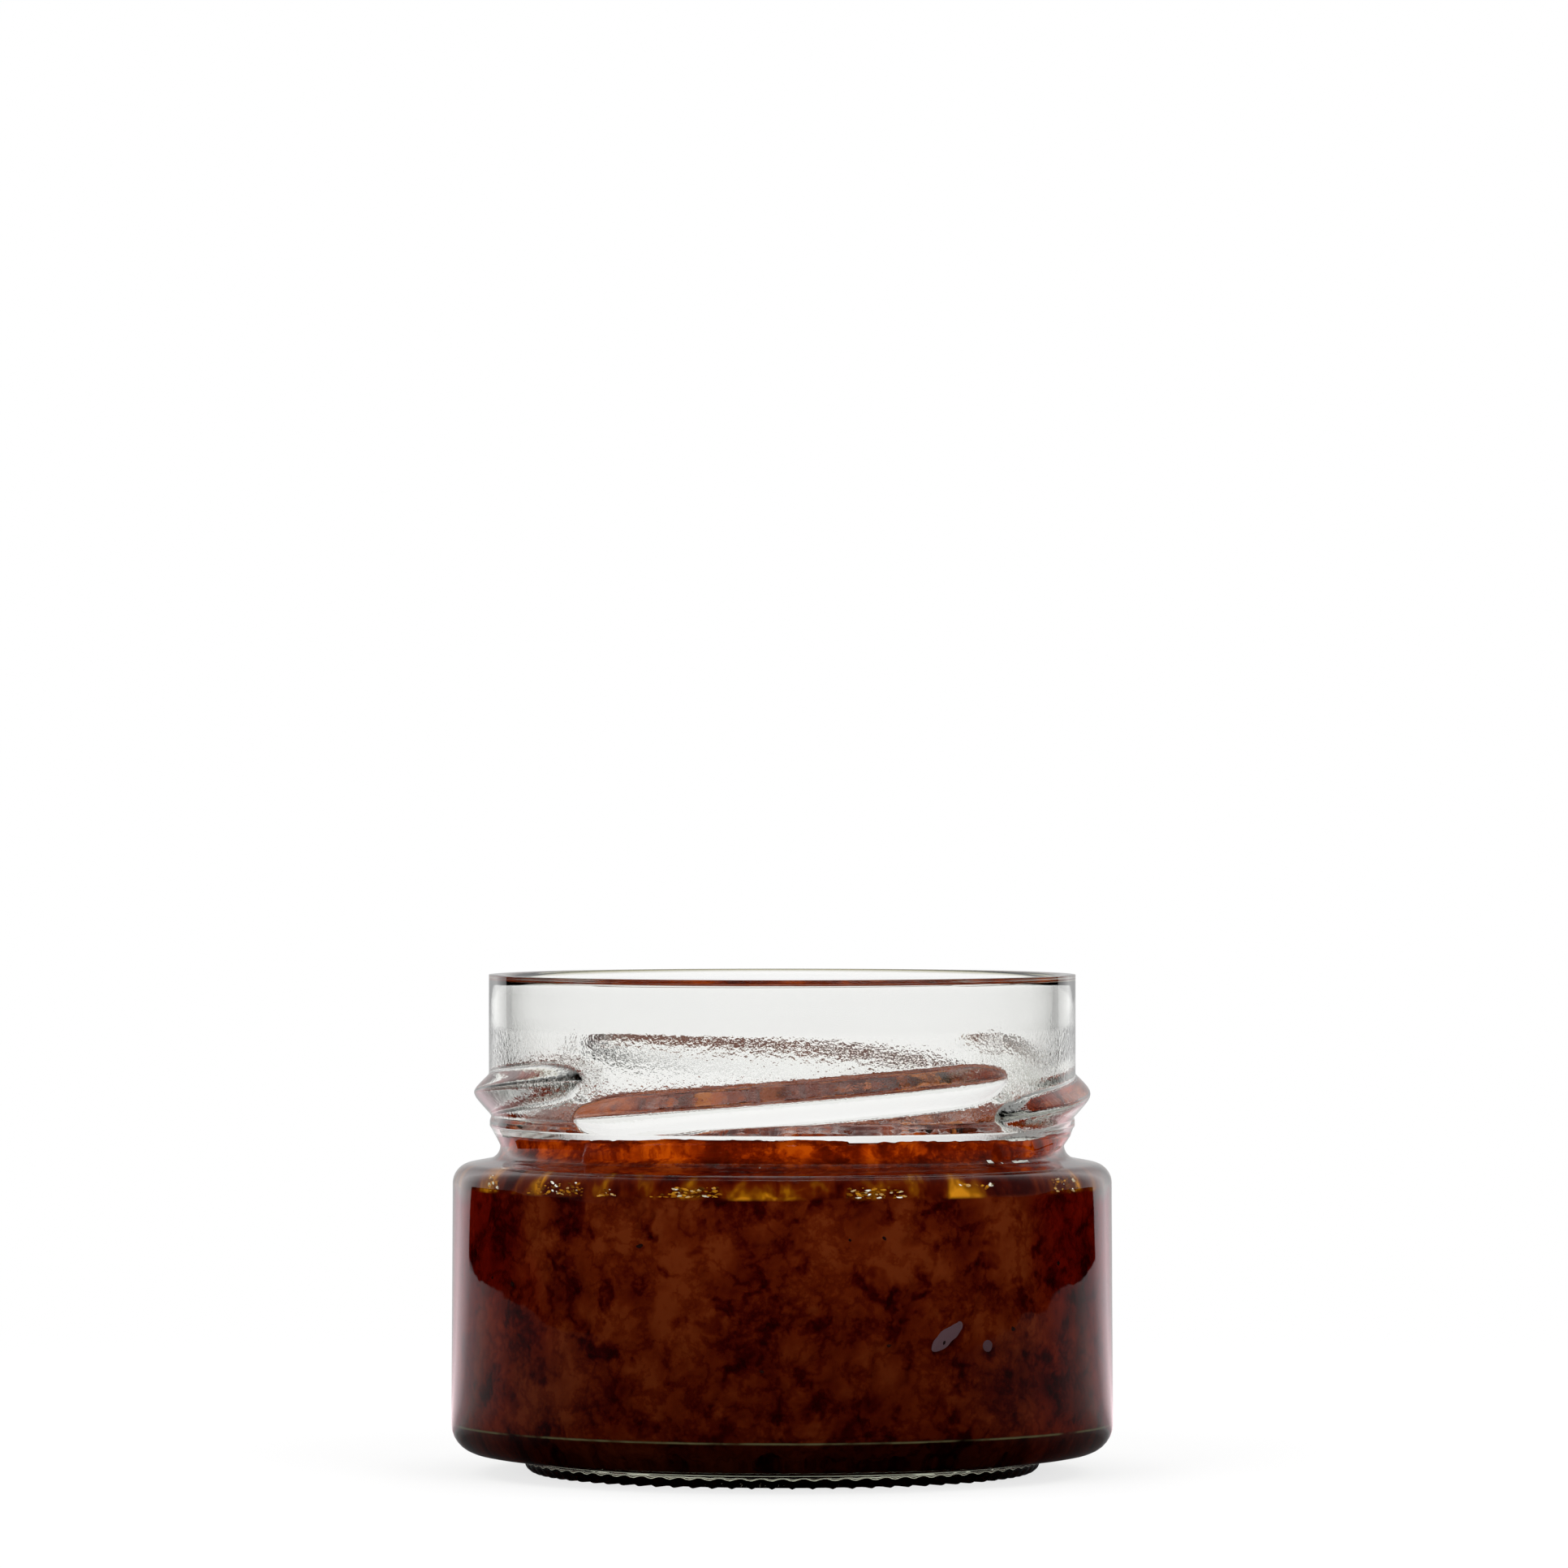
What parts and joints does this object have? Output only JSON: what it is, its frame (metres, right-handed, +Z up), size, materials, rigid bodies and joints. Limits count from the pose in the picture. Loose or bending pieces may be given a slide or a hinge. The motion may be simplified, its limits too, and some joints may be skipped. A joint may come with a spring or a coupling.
{
  "type": "filled glass jar",
  "caption": "Squat clear glass jar with an open twist-off neck and a ring foot, filled with a dark red chopped sauce in oil.",
  "frame": {"origin": "middle of the standing plane, under the jar's axis", "axes": "+Z up along the jar's axis, out of its mouth; -Y towards the front, where one lug runs across the neck"},
  "size_m": [0.0744, 0.0744, 0.0559],
  "materials": {
    "glass": "clear container glass, smooth and slightly wavy, with a faint green tint where it is thick",
    "sauce": "wet chopped sauce, dark red brown with golden oil, glossy where it lies against the glass"
  },
  "bodies": {
    "root": {"jar": "glass", "sauce": "sauce"}
  },
  "joints": []
}
